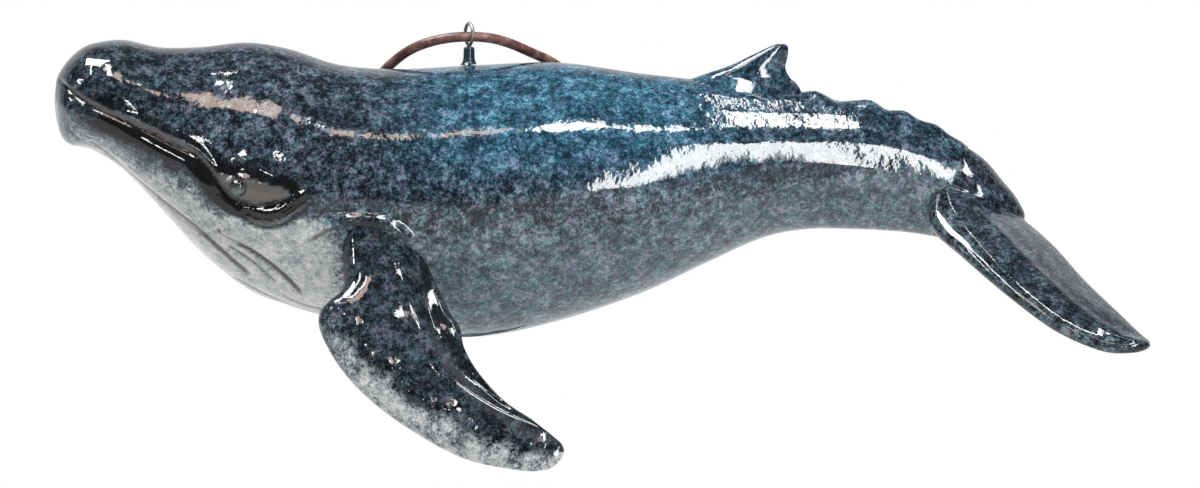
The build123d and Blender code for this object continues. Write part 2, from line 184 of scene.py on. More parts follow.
view = {
    "target": Vector((0.0288, 0, -0.0462)),
    "width": 0.264,          # that the frame spans at the whale
    "distance": 3.6,
    "elevation": 1.0,        # degrees
    "sensor": 36.0,
}
cameraData = bpy.data.cameras.new("camera")
cameraData.sensor_width = view["sensor"]
cameraData.lens = view["sensor"] * view["distance"] / view["width"]
cameraData.clip_end = 20
camera = bpy.data.objects.new("camera", cameraData)
bpy.context.scene.collection.objects.link(camera)
rise = math.radians(view["elevation"])
camera.location = view["target"] + view["distance"] * Vector((0, -math.cos(rise), math.sin(rise)))
camera.rotation_euler = (math.radians(90) - rise, 0, 0)
bpy.context.scene.camera = camera
bpy.context.scene.view_settings.view_transform = "Standard"
print("camera set")


def noiseNode(tree, place, scale, detail, rough=0.5):
    node = tree.nodes.new("ShaderNodeTexNoise")
    node.inputs["Scale"].default_value = scale
    node.inputs["Detail"].default_value = detail
    node.inputs["Roughness"].default_value = rough
    tree.links.new(place, node.inputs["Vector"])
    return node.outputs["Fac"]


def rampNode(tree, stops, source):
    node = tree.nodes.new("ShaderNodeValToRGB")
    elements = node.color_ramp.elements
    while len(elements) < len(stops):
        elements.new(0.5)
    for element, (place, color) in zip(elements, stops):
        element.position = place
        element.color = (*color, 1)
    tree.links.new(source, node.inputs["Fac"])
    return node.outputs["Color"]


def mixColor(tree, factor, first, second, blend="MIX"):
    node = tree.nodes.new("ShaderNodeMix")
    node.data_type = "RGBA"
    node.blend_type = blend
    for name, value in (("Factor", factor), ("A", first), ("B", second)):
        socket = [s for s in node.inputs if s.name == name and s.enabled][0]
        if isinstance(value, bpy.types.NodeSocket):
            tree.links.new(value, socket)
        elif name == "Factor":
            socket.default_value = value
        else:
            socket.default_value = (*value, 1)
    return [s for s in node.outputs if s.enabled][0]


def bumpNode(tree, height, strength, distance):
    node = tree.nodes.new("ShaderNodeBump")
    node.inputs["Strength"].default_value = strength
    node.inputs["Distance"].default_value = distance
    tree.links.new(height, node.inputs["Height"])
    tree.links.new(node.outputs["Normal"], tree.nodes["Principled BSDF"].inputs["Normal"])


def mathNode(tree, operation, first, second=None):
    node = tree.nodes.new("ShaderNodeMath")
    node.operation = operation
    for socket, value in zip(node.inputs, (first, second)):
        if value is None:
            continue
        if isinstance(value, bpy.types.NodeSocket):
            tree.links.new(value, socket)
        else:
            socket.default_value = value
    return node.outputs[0]


glaze = {
    "masks": ("pale", "teal", "grey", "dark", "bare"),
    "roughness": 0.04,
    "ior": 1.5,
    # noises as (scale per metre, detail), with how much each counts in a sum
    "grains": ((300, 4, 0.38), (850, 2, 0.34), (2000, 1, 0.28)),
    "grainRough": 0.6,
    "cloud": (55, 2), "cloudShare": 0.08,
    "tint": (520, 2),
    "spray": 20.0,           # how grainy the edges between the glazes are
    "waves": ((120, 2, 1.0), (520, 1, 0.25), (1500, 1, 0.10)),
    "waveHeight": 0.12 * mm,
    # each glaze from its darkest speck to its lightest
    "night": (
        (0.40, (0.004, 0.005, 0.008)), (0.46, (0.013, 0.019, 0.027)), (0.53, (0.055, 0.077, 0.101)),
        (0.62, (0.20, 0.25, 0.30)),
    ),
    "teal": (
        (0.40, (0.008, 0.026, 0.042)), (0.47, (0.022, 0.072, 0.112)), (0.54, (0.060, 0.165, 0.250)),
        (0.62, (0.20, 0.42, 0.54)),
    ),
    "grey": (
        (0.40, (0.030, 0.048, 0.058)), (0.47, (0.080, 0.118, 0.138)), (0.54, (0.165, 0.220, 0.248)),
        (0.62, (0.33, 0.42, 0.45)),
    ),
    "pale": (
        (0.38, (0.28, 0.29, 0.30)), (0.47, (0.48, 0.51, 0.51)), (0.53, (0.63, 0.62, 0.62)),
        (0.62, (0.80, 0.80, 0.78)),
    ),
    "tints": ((0.38, (0.82, 1.10, 1.06)), (0.50, (1.0, 1.0, 1.0)), (0.62, (1.18, 0.95, 1.10))),
    # near black for painted shade and darker glaze, brown-grey for painted sheen and highlight and for thinner
    # glaze
    "darkGlazeAndShade": (0.005, 0.005, 0.005),
    "bare": (0.128, 0.116, 0.108),
}


def glazeMaterial(name):
    # dark speckled glaze: the point attributes say where it turns pale, teal, grey,
    # near black and brown-grey; the near black is mostly painted shade, the brown-grey painted sheen and
    # highlight
    material = bpy.data.materials.new(name)
    material.use_nodes = True
    tree = material.node_tree
    shader = tree.nodes["Principled BSDF"]
    place = tree.nodes.new("ShaderNodeTexCoord").outputs["Object"]

    def grain(scale, detail):
        return noiseNode(tree, place, scale, detail, glaze["grainRough"])

    def grainSum(parts):
        total = None
        for scale, detail, share in parts:
            part = mathNode(tree, "MULTIPLY", grain(scale, detail), share)
            total = part if total is None else mathNode(tree, "ADD", total, part)
        return total

    def mask(attribute):
        node = tree.nodes.new("ShaderNodeAttribute")
        node.attribute_name = attribute
        return node.outputs["Fac"]

    def sprayed(source, speckle):
        # mask whose soft edge breaks up into specks
        rest = mathNode(tree, "SUBTRACT", 1.0, source)
        edge = mathNode(tree, "MULTIPLY", source, rest)
        shift = mathNode(tree, "MULTIPLY", mathNode(tree, "SUBTRACT", speckle, 0.5), glaze["spray"])
        node = mathNode(tree, "ADD", source, mathNode(tree, "MULTIPLY", edge, shift))
        node.node.use_clamp = True
        return node

    cloud = mathNode(tree, "SUBTRACT", grain(*glaze["cloud"]), 0.5)
    speckle = mathNode(
        tree, "ADD", grainSum(glaze["grains"]), mathNode(tree, "MULTIPLY", cloud, glaze["cloudShare"]),
    )
    color = rampNode(tree, glaze["night"], speckle)
    color = mixColor(tree, mask("teal"), color, rampNode(tree, glaze["teal"], speckle))
    color = mixColor(tree, sprayed(mask("grey"), speckle), color, rampNode(tree, glaze["grey"], speckle))
    tint = rampNode(tree, glaze["tints"], grain(*glaze["tint"]))
    color = mixColor(tree, 1.0, color, tint, "MULTIPLY")
    color = mixColor(tree, sprayed(mask("pale"), speckle), color, rampNode(tree, glaze["pale"], speckle))
    # painted shade: near black in grooves, folds, vents and round the eye, and darker glaze on the snout, fins
    # and flukes
    color = mixColor(tree, mask("dark"), color, glaze["darkGlazeAndShade"])
    # painted sheen and highlight: brown-grey round the eye, beside the fin's crease, on the flukes' trailing
    # edge and along the lip
    color = mixColor(tree, mask("bare"), color, glaze["bare"])
    tree.links.new(color, shader.inputs["Base Color"])
    shader.inputs["Roughness"].default_value = glaze["roughness"]
    shader.inputs["IOR"].default_value = glaze["ior"]
    bumpNode(tree, grainSum(glaze["waves"]), 1.0, glaze["waveHeight"])
    return material


def plainMaterial(name, color, rough, metal=0.0, ior=1.5):
    material = bpy.data.materials.new(name)
    material.use_nodes = True
    shader = material.node_tree.nodes["Principled BSDF"]
    shader.inputs["Base Color"].default_value = (*color, 1)
    shader.inputs["Roughness"].default_value = rough
    shader.inputs["Metallic"].default_value = metal
    shader.inputs["IOR"].default_value = ior
    return material


leather = {
    "color": (0.20, 0.07, 0.045),
    "roughness": 0.42,
    "patches": (420, 4),     # noise scale per metre and detail
    "stops": (
        (0.35, (0.085, 0.030, 0.024)), (0.52, (0.21, 0.085, 0.062)), (0.66, (0.36, 0.19, 0.155)),
    ),
    "grainStrength": 0.5,
    "grainHeight": 0.12 * mm,
}


def leatherMaterial(name):
    # reddish-brown thong leather, patchy along its length
    material = plainMaterial(name, leather["color"], leather["roughness"])
    tree = material.node_tree
    place = tree.nodes.new("ShaderNodeTexCoord").outputs["Object"]
    patches = noiseNode(tree, place, *leather["patches"])
    color = rampNode(tree, leather["stops"], patches)
    tree.links.new(color, tree.nodes["Principled BSDF"].inputs["Base Color"])
    bumpNode(tree, patches, leather["grainStrength"], leather["grainHeight"])
    return material


eyeBall = {
    "middle": fromPhoto((241, 186)),
    "color": (0.02, 0.02, 0.02),
    "roughness": 0.04,
    "blend": 0.9 * mm,       # over which it turns from dark above to clouded below
    "stops": (
        (0.0, (0.16, 0.21, 0.17)), (0.55, (0.055, 0.075, 0.062)), (1.0, (0.008, 0.009, 0.008)),
    ),
}


def eyeMaterial(name):
    # clouded grey-green eye, darker towards its lid
    material = plainMaterial(name, eyeBall["color"], eyeBall["roughness"])
    tree = material.node_tree
    split = tree.nodes.new("ShaderNodeSeparateXYZ")
    tree.links.new(tree.nodes.new("ShaderNodeTexCoord").outputs["Object"], split.inputs[0])
    rise = mathNode(tree, "SUBTRACT", split.outputs["Z"], eyeBall["middle"].z - eyeBall["blend"])
    share = mathNode(tree, "DIVIDE", rise, 2 * eyeBall["blend"])
    color = rampNode(tree, eyeBall["stops"], share)
    tree.links.new(color, tree.nodes["Principled BSDF"].inputs["Base Color"])
    return material


stem = {"color": (0.020, 0.048, 0.062), "rough": 0.05}
wire = {"color": (0.30, 0.29, 0.27), "rough": 0.42, "metal": 0.9}
glazeLook = glazeMaterial("speckledGlaze")
stemLook = plainMaterial("stemGlaze", **stem)
eyeLook = eyeMaterial("eyeGlaze")
wireLook = plainMaterial("kilnWire", **wire)
leatherLook = leatherMaterial("thongLeather")
print("materials made")

thong = {
    "diameter": 2.2 * mm,
    "length": 167.4 * mm,
    "roundSteps": 6,
    "bendSteps": 10,
    # from the knot behind the body, over the back, through the wire eye and down again, in mm
    "route": (
        (-1.9, 30.4, -52.2), (-3.8, 30.4, -48.5), (-7.8, 30.4, -44.2), (-13.0, 30.2, -38.8),
        (-17.2, 29.5, -32.6), (-20.2, 27.8, -26.0), (-21.9, 24.7, -19.6), (-22.0, 20.2, -14.0),
        (-20.3, 14.8, -9.7), (-17.4, 8.8, -6.7), (-13.6, 4.3, -3.7), (-9.2, 1.3, -1.8),
        (-3.6, -0.5, -0.62), (3.6, 0.7, -0.58), (8.8, 2.7, -1.9), (13.6, 5.6, -4.1),
        (18.6, 10.4, -6.3), (22.6, 16.2, -9.9), (24.4, 20.6, -15.0), (24.0, 24.2, -21.2),
        (21.8, 26.7, -27.9), (18.2, 28.4, -34.4), (13.0, 29.5, -40.0), (7.2, 30.2, -44.8),
        (2.9, 30.4, -48.5), (0.9, 30.4, -52.2),
    ),
}
thongData = bpy.data.curves.new("leatherThong", "CURVE")
thongData.dimensions = "3D"
thongData.bevel_depth = thong["diameter"] / 2
thongData.bevel_resolution = thong["roundSteps"]
thongData.resolution_u = thong["bendSteps"]
thongData.use_fill_caps = True
thongLine = thongData.splines.new("NURBS")
thongLine.points.add(len(thong["route"]) - 1)
for point, place in zip(thongLine.points, thong["route"]):
    point.co = (*(Vector(place) * mm), 1)
thongLine.order_u = 3
thongLine.use_endpoint_u = True
thongCurve = bpy.data.objects.new("leatherThong", thongData)
bpy.context.scene.collection.objects.link(thongCurve)
thongData.materials.append(leatherLook)
ridePiece(thongCurve, "thong_leather", "leather_cord")

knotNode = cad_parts["cord_knot"]
for slot in knotNode.material_slots:
    slot.material = leatherLook
print("thong made")

# Lines on the flank, drawn in the photograph: a groove, rolls above or below it
# as (height above the line, rise, width), and bands of colour along it as
# (mask, lowest, highest, strength, from and to share of the line); the dark bands
# are painted shade in grooves and folds and a painted dark reflection above the mouth,
# the brown-grey ones painted sheen and highlight, partly where the glaze thins
flankLines = {
    "mouth": makeLine(
        ((62, 81), (81, 96.5), (104, 110), (127, 119.5), (152.5, 130), (169, 138.5), (185.5, 146),
         (196, 151.5), (205, 160), (214.5, 171), (222, 182), (229, 190), (238, 197), (250, 201.5),
         (264, 204), (280, 200.5), (293, 193)),
        depth=0.6 * mm, width=0.45 * mm, open=True,
        rolls=((-3.2 * mm, 0.8 * mm, 2.4 * mm), (0.9 * mm, 0.25 * mm, 0.8 * mm)),
        # dark bands: painted shade below the mouth line and in the front of its groove, and a painted dark
        # reflection above it; brown-grey bands: a pale line where the glaze thins on the upper lip's edge,
        # with a painted edge highlight
        bands=(
            ("dark", -3.4 * mm, 0.0, 0.97, 0.10, 0.95),
            ("dark", -0.6 * mm, 0.0, 0.9, -0.1, 0.15),
            ("dark", 1.3 * mm, 3.2 * mm, 0.80, 0.10, 0.55),
            ("bare", 0.1 * mm, 1.05 * mm, 0.85, -0.1, 0.44),
            ("bare", 0.1 * mm, 0.55 * mm, 0.75, 0.40, 0.86),
        ),
    ),
    "ridge": makeLine(
        ((250, 214), (258, 217.5), (268.5, 219.6), (283, 217.8), (298, 209.4), (309, 201)),
        depth=-0.45 * mm, width=0.45 * mm,
        rolls=((1.9 * mm, 1.1 * mm, 0.9 * mm), (0.9 * mm, -0.4 * mm, 0.4 * mm)),
        # dark band: painted shade below the eye's pad; brown-grey band: painted sheen along the ridge
        bands=(
            ("dark", 0.3 * mm, 3.4 * mm, 0.95, 0.0, 1.0), ("bare", -0.35 * mm, 0.3 * mm, 0.70, 0.05, 0.95),
        ),
    ),
    "lowFold": makeLine(
        ((252, 219.5), (261, 223), (270, 225), (283, 222.8), (296, 216), (309, 207)),
        # dark band: painted shade in its groove
        depth=0.5 * mm, width=0.45 * mm, bands=(("dark", -0.5 * mm, 0.4 * mm, 0.9, 0.0, 1.0),),
    ),
    # the pleats' dark bands are painted shade in their grooves
    "firstPleat": makeLine(
        ((95, 143), (112, 156), (130, 172), (165, 201), (200, 229), (225, 251), (250, 272)),
        depth=0.7 * mm, width=0.5 * mm,
        bands=(
            ("dark", -0.25 * mm, 0.25 * mm, 0.75, 0.0, 0.75),
            ("dark", -0.55 * mm, 0.35 * mm, 0.8, 0.66, 1.0),
        ),
    ),
    "secondPleat": makeLine(
        ((214, 229), (238, 242), (258, 253), (283, 272), (302, 291)), depth=0.7 * mm, width=0.5 * mm,
        bands=(
            ("dark", -0.5 * mm, 0.4 * mm, 0.85, 0.25, 1.0), ("dark", -0.2 * mm, 0.2 * mm, 0.6, 0.0, 0.3),
        ),
    ),
    "thirdPleat": makeLine(
        ((231, 245), (254, 261), (277, 281)), depth=0.5 * mm, width=0.4 * mm,
        bands=(("dark", -0.25 * mm, 0.2 * mm, 0.75, 0.0, 1.0),),
    ),
    "lowPleat": makeLine(
        ((236, 277), (262, 292), (282, 301), (303, 309), (323, 315)), depth=0.6 * mm, width=0.5 * mm,
        bands=(("dark", -0.3 * mm, 0.25 * mm, 0.7, 0.0, 1.0),),
    ),
    "highPleat": makeLine(
        ((262, 276), (285, 295), (304, 304), (326, 309)), depth=0.4 * mm, width=0.4 * mm,
        bands=(("dark", -0.25 * mm, 0.2 * mm, 0.6, 0.3, 1.0),),
    ),
    "shoulder": makeLine(
        ((300, 245), (315, 235), (329, 227), (352, 220), (373, 220), (392, 225), (407, 238),
         (422, 252), (436, 268)),
        depth=0.0, width=1.0 * mm, rolls=((0.0, 1.3 * mm, 1.7 * mm), (2.6 * mm, -0.4 * mm, 1.0 * mm)),
        # dark band: painted shade in the crease round the fin's root
        bands=(("dark", -0.7 * mm, 0.3 * mm, 0.75, 0.1, 0.9),),
    ),
}
lineReach = 7 * mm
eyePad = {
    "middle": fromPhoto((256, 187)), "eye": fromPhoto((241, 186)),
    "halfLength": 8.0 * mm, "halfHeight": 3.0 * mm, "rise": 0.9 * mm,
    "lean": 9.0,             # degrees
    "pinch": 0.6,            # how much its ends narrow
    "lidRadius": 2.2 * mm, "lidRise": 0.35 * mm, "lidWidth": 0.5 * mm,
    "lidBand": (1.7 * mm, 2.15 * mm), "lidDark": 0.8,
    "upper": makeLine((
        (218, 169.5), (226, 173.5), (236, 176), (253.7, 178), (272, 183.5), (287, 187.5), (293.5, 193),
    )),
    "lower": makeLine((
        (218, 169.5), (223, 178), (230, 187.5), (239, 194.6), (250, 199), (263, 201), (281.5, 198),
        (293.5, 193),
    )),
    "edge": (0.15 * mm, 0.25 * mm),
    "shade": 3.0 * mm, "shadeSoft": 1.2 * mm, "shadeDark": 0.95,
    "browAt": fromPhoto((231, 163)), "browRise": 0.3 * mm, "browWidth": 2.6 * mm,
}
# dents of the vent holes: pixel and half width
vents = (((220, 230), 0.50 * mm), ((201, 234), 0.30 * mm))
# knuckles behind the dorsal fin: pixel, rise and width
knuckles = (
    ((815, 90), 1.2 * mm, 2.6 * mm), ((838, 102), -0.6 * mm, 2.2 * mm),
    ((870, 99.5), 1.0 * mm, 2.6 * mm), ((887, 108), -0.4 * mm, 2.0 * mm),
    ((905, 111), 0.8 * mm, 2.2 * mm), ((937, 125), 0.8 * mm, 2.4 * mm), ((960, 142), 0.3 * mm, 2.2 * mm),
)


def padReach(point):
    # 0 in the middle of the almond round the eye, 1 at its rim
    lean = math.radians(eyePad["lean"])
    dx, dz = point.x - eyePad["middle"].x, point.z - eyePad["middle"].z
    u = (dx * math.cos(lean) - dz * math.sin(lean)) / eyePad["halfLength"]
    v = (dx * math.sin(lean) + dz * math.cos(lean)) / eyePad["halfHeight"]
    return math.hypot(abs(u), v * (1 + eyePad["pinch"] * min(u * u, 1)))


def endFade(part, line):
    # a line's relief dies away at both ends, or only at the far end of an open one
    if line.get("open"):
        return 1 - smoothStep(0.9, 1.0, part)
    return math.sin(math.pi * min(max(part, 0.02), 0.98)) ** 0.5


def flatGap(point, place):
    # distance in side view
    return math.hypot(point.x - place.x, point.z - place.z)


def flankRelief(point, hits):
    # how far the surface stands out of the plain girths
    relief = 0.0
    for name, (gap, above, part) in hits.items():
        line = flankLines[name]
        fade = endFade(part, line)
        relief -= line["depth"] * bell(gap, line["width"]) * fade
        for offset, lift, width in line.get("rolls", ()):
            relief += lift * bell(above - offset, width) * fade
    reach = padReach(point)
    if reach < 2:
        relief += eyePad["rise"] * math.exp(-reach ** 4)
        lidGap = flatGap(point, eyePad["eye"]) - eyePad["lidRadius"]
        relief += eyePad["lidRise"] * bell(lidGap, eyePad["lidWidth"])
    relief += eyePad["browRise"] * bell(flatGap(point, eyePad["browAt"]), eyePad["browWidth"])
    for pixel, width in vents:
        relief -= width * bell(flatGap(point, fromPhoto(pixel)), width)
    return relief


def pixelSpan(first, last):
    # places along the whale of two columns of the photograph
    return fromPhoto((first, 0)).x, fromPhoto((last, 0)).x


# where the glaze turns pale below the head, and grey below the flank
throatEdge = makeLine((
    (40, 92), (56, 100), (80, 120), (100, 133), (125, 147), (150, 163), (180, 180), (200, 190),
    (215, 202), (230, 210), (245, 216), (257, 221), (272, 225), (292, 219), (312, 218), (334, 228),
    (348, 252), (354, 300), (352, 340),
), perSpan=3)
flankEdge = makeLine((
    (300, 262), (350, 250), (400, 240), (450, 225), (520, 216), (580, 212), (640, 206), (700, 197),
    (760, 187), (820, 178), (870, 172), (930, 166), (990, 160),
), perSpan=2)
masking = {
    "far": 200 * mm, "wobbleScale": 90, "wobble": 1.5,
    "paleSoft": 3.5 * mm, "paleEdge": 1.2 * mm, "paleSharpens": (0.30, 0.55),
    "chinFade": pixelSpan(60, 105),
    "throatEnd": pixelSpan(322, 352),
    "greySoft": 9 * mm, "greyEdge": 1.5 * mm, "greySharpens": (0.35, 0.75),
    "flankStart": pixelSpan(318, 352),
    "greyRim": (0.3 * mm, 3.2 * mm), "greyRimEnd": 0.9,
    "snout": pixelSpan(120, 260), "snoutDark": 0.30,
    "tealRise": (fromPhoto((0, 225)).z, fromPhoto((0, 115)).z),
    "tealStart": pixelSpan(340, 500), "tealEnd": pixelSpan(650, 800), "tealLoss": 0.75,
    "bandFade": 0.05,
    # painted shade below the lip
    "lipShade": 0.9, "lipReach": (-5.4 * mm, -3.2 * mm), "lipStart": (0.06, 0.16), "lipEnd": (0.6, 0.8),
}


def eyeMasks(point, masks):
    # almond of painted brown-grey sheen round the eye, with painted shade round it and a dark ring at the lid
    upper, lower = (lineHit(eyePad[name], point, lineReach) for name in ("upper", "lower"))
    if not upper or not lower:
        return
    out, into = eyePad["edge"]
    inside = (1 - smoothStep(-into, out, upper[1])) * smoothStep(-out, into, lower[1])
    shade, soft = eyePad["shade"], eyePad["shadeSoft"]
    around = 1 - smoothStep(shade - soft, shade + soft, min(upper[0], lower[0]))
    lid = eyePad["lidDark"] * stripe(flatGap(point, eyePad["eye"]), *eyePad["lidBand"])
    # painted shade round the almond, and the dark lid ring inside it
    masks["dark"] = max(masks["dark"], eyePad["shadeDark"] * around) * (1 - inside) + inside * lid
    # painted brown-grey sheen inside the almond
    masks["bare"] = max(masks["bare"], inside * (1 - lid))


def glazeMasks(point, hits):
    # how far the glaze turns pale, teal, grey, dark and bare at a place
    wobble = noise.noise(point * masking["wobbleScale"]) * masking["wobble"] * mm
    throat = lineHit(throatEdge, point, masking["far"])
    flank = lineHit(flankEdge, point, masking["far"])
    blurred = 1 - smoothStep(*masking["paleSharpens"], throat[2])
    soft = masking["paleSoft"] * blurred + masking["paleEdge"]
    pale = 1 - smoothStep(-soft, masking["paleEdge"], throat[1] + wobble)
    pale *= smoothStep(*masking["chinFade"], point.x + wobble)
    pale *= 1 - smoothStep(*masking["throatEnd"], point.x + wobble * 2)
    blurred = 1 - smoothStep(*masking["greySharpens"], flank[2])
    soft = masking["greySoft"] * blurred + masking["greyEdge"]
    grey = (1 - smoothStep(-soft, soft, flank[1] + wobble)) * smoothStep(*masking["flankStart"], point.x)
    rim = 1 - smoothStep(*masking["greyRim"], throat[1] + wobble)
    grey = max(grey, rim * (throat[2] < masking["greyRimEnd"]))
    teal = smoothStep(*masking["tealRise"], point.z + wobble * 2) * smoothStep(*masking["tealStart"], point.x)
    teal *= 1 - masking["tealLoss"] * smoothStep(*masking["tealEnd"], point.x)
    dark = masking["snoutDark"] * (1 - smoothStep(*masking["snout"], point.x)) * (1 - grey)
    masks = {"pale": pale, "teal": teal, "grey": grey, "dark": dark, "bare": 0.0}
    fade = masking["bandFade"]
    for name, (gap, above, part) in hits.items():
        for kind, low, high, strength, start, end in flankLines[name].get("bands", ()):
            run = smoothStep(start - fade, start + fade, part) * (1 - smoothStep(end - fade, end + fade, part))
            masks[kind] = max(masks[kind], strength * run * stripe(above, low, high))
        if name == "mouth":
            # painted shade below the lip
            run = smoothStep(*masking["lipStart"], part) * (1 - smoothStep(*masking["lipEnd"], part))
            paintedShade = smoothStep(*masking["lipReach"], above) * (above < 0) * run
            masks["dark"] = max(masks["dark"], masking["lipShade"] * paintedShade)
    eyeMasks(point, masks)
    # painted shade in the vent holes
    for pixel, width in vents:
        masks["dark"] = max(masks["dark"], bell(flatGap(point, fromPhoto(pixel)), width))
    return masks


def flankHits(point):
    hits = {}
    for name, line in flankLines.items():
        hit = lineHit(line, point, lineReach)
        if hit and hit[0] < lineReach:
            hits[name] = hit
    return hits


def setMasks(bm, vert, masks):
    for name in glaze["masks"]:
        vert[bm.verts.layers.float[name]] = min(max(masks.get(name, 0), 0), 1)


def addMasks(bm):
    for name in glaze["masks"]:
        bm.verts.layers.float.new(name)


body = {
    "around": 148,            # strips round one flank
    "headSpacing": 0.42 * mm,
    "tailSpacing": 1.4 * mm,
    "headEnd": 13,            # row at which the head's finer rings end
    "reliefEnd": fromPhoto((445, 0)).x,
    "knucklesStart": fromPhoto((790, 0)).x,
    "upright": 1.6,           # how soon the relief dies away towards ridge and keel
}


def girthPoint(row, turn):
    # place on a girth of the left flank, turned from the ridge at 0 to the keel at pi
    top, bottom = sidePoint(row[0], row[1]), sidePoint(row[2], row[3])
    upper = math.cos(turn) > 0
    power = row[6] if upper else 1
    rise = (1 - row[5]) if upper else -row[5]
    out = row[4] * whale["halfWidth"] * max(math.sin(turn), 0) ** power
    return bottom + (top - bottom) * (row[5] + rise * abs(math.cos(turn)) ** power) + Vector((0, -out, 0))


def ringSteps(rows):
    # steps through the girths whose rings come out evenly spaced
    steps = []
    for index, (row, after) in enumerate(zip(rows, rows[1:])):
        spacing = body["headSpacing"] if index < body["headEnd"] else body["tailSpacing"]
        reach = max(
            (sidePoint(*after[:2]) - sidePoint(*row[:2])).length,
            (sidePoint(*after[2:4]) - sidePoint(*row[2:4])).length,
        )
        count = max(2, math.ceil(reach / spacing))
        steps += [index + k / count for k in range(count)]
    return steps + [len(rows) - 1]


steps = ringSteps(girthRows)
ringRows = [blendRows(girthRows, step) for step in steps]
bm = wrapGrid(len(steps) - 1, body["around"])
addMasks(bm)
for vert in bm.verts:
    ring = ringRows[round(vert.co.x * (len(steps) - 1))]
    vert.co = girthPoint(ring, math.pi * (1 - vert.co.y))
bm.normal_update()
knucklePlaces = [(fromPhoto(pixel), lift, width) for pixel, lift, width in knuckles]
for vert in bm.verts:
    point = vert.co.copy()
    outward = vert.normal.copy()
    if abs(point.y) < 0.01 * mm:
        outward.y = 0
        outward.normalize()
    hits = flankHits(point) if point.x < body["reliefEnd"] else {}
    setMasks(bm, vert, glazeMasks(point, hits))
    if point.x < body["reliefEnd"]:
        vert.co += outward * flankRelief(point, hits) * min(abs(outward.y) * body["upright"], 1)
    elif point.x > body["knucklesStart"]:
        for peak, lift, width in knucklePlaces:
            vert.co += outward * lift * bell((point - peak).length, width)
bmesh.ops.mirror(bm, geom=bm.verts[:] + bm.edges[:] + bm.faces[:], axis="Y", merge_dist=weld)
closeForm(bm)
whaleBody = meshPiece("whaleBody", bm, glazeLook)
ridePiece(whaleBody, "dark_glaze", "body_shell")
print("body made", len(whaleBody.data.polygons))


def bladeForm(rows, columns, around, shape):
    # blade through rows of leading edge, trailing edge and half thickness; shape
    # gives the rise of a face and its masks at a step and a share of the chord
    bm = wrapGrid(columns, around)
    addMasks(bm)
    last = len(rows) - 1
    for vert in bm.verts:
        step, turn = vert.co.x * last, 2 * math.pi * vert.co.y
        row = blendRows(rows, step)
        lead, trail = Vector(row[:3]), Vector(row[3:6])
        before, after = blendRows(rows, max(step - 0.2, 0)), blendRows(rows, min(step + 0.2, last))
        span = Vector(after[:3]) + Vector(after[3:6]) - Vector(before[:3]) - Vector(before[3:6])
        chordwise = trail - lead
        outward = chordwise.cross(span).normalized()
        share = 0.5 - 0.5 * math.cos(turn)
        flat = lead + chordwise * share
        lift, masks = shape(step, share, math.sin(turn), row[6], chordwise.length, flat)
        vert.co = flat + outward * lift
        setMasks(bm, vert, masks)
    closeForm(bm)
    return bm


# Dorsal fin from inside the back to its tip: height, leading and trailing edge
# behind the hanging eye, half thickness, in mm
dorsal = {
    "rows": (
        (-15.0, 40.0, 74.0, 7.0), (-11.5, 44.0, 72.5, 4.6), (-9.6, 49.5, 70.6, 3.3),
        (-8.2, 53.5, 69.8, 2.7), (-7.0, 57.2, 69.6, 2.3), (-4.9, 61.6, 70.1, 1.75),
        (-3.2, 65.2, 70.2, 1.3), (-2.5, 66.8, 69.9, 0.9), (-2.2, 67.8, 69.3, 0.4),
    ),
    "fullLead": 0.35,         # how much fuller it is ahead of its middle
    "columns": 72, "around": 48,
}


def dorsalShape(step, share, side, half, chord, place):
    lift = half * side * (1 + dorsal["fullLead"] * (1 - 2 * share))
    return lift, glazeMasks(place, {})


dorsalRows = [
    (lead * mm, 0, z * mm, trail * mm, 0, z * mm, half * mm) for z, lead, trail, half in dorsal["rows"]
]
bm = bladeForm(dorsalRows, dorsal["columns"], dorsal["around"], dorsalShape)
dorsalFin = meshPiece("dorsalFin", bm, glazeLook)
ridePiece(dorsalFin, "dark_glaze")
print("dorsal fin made")

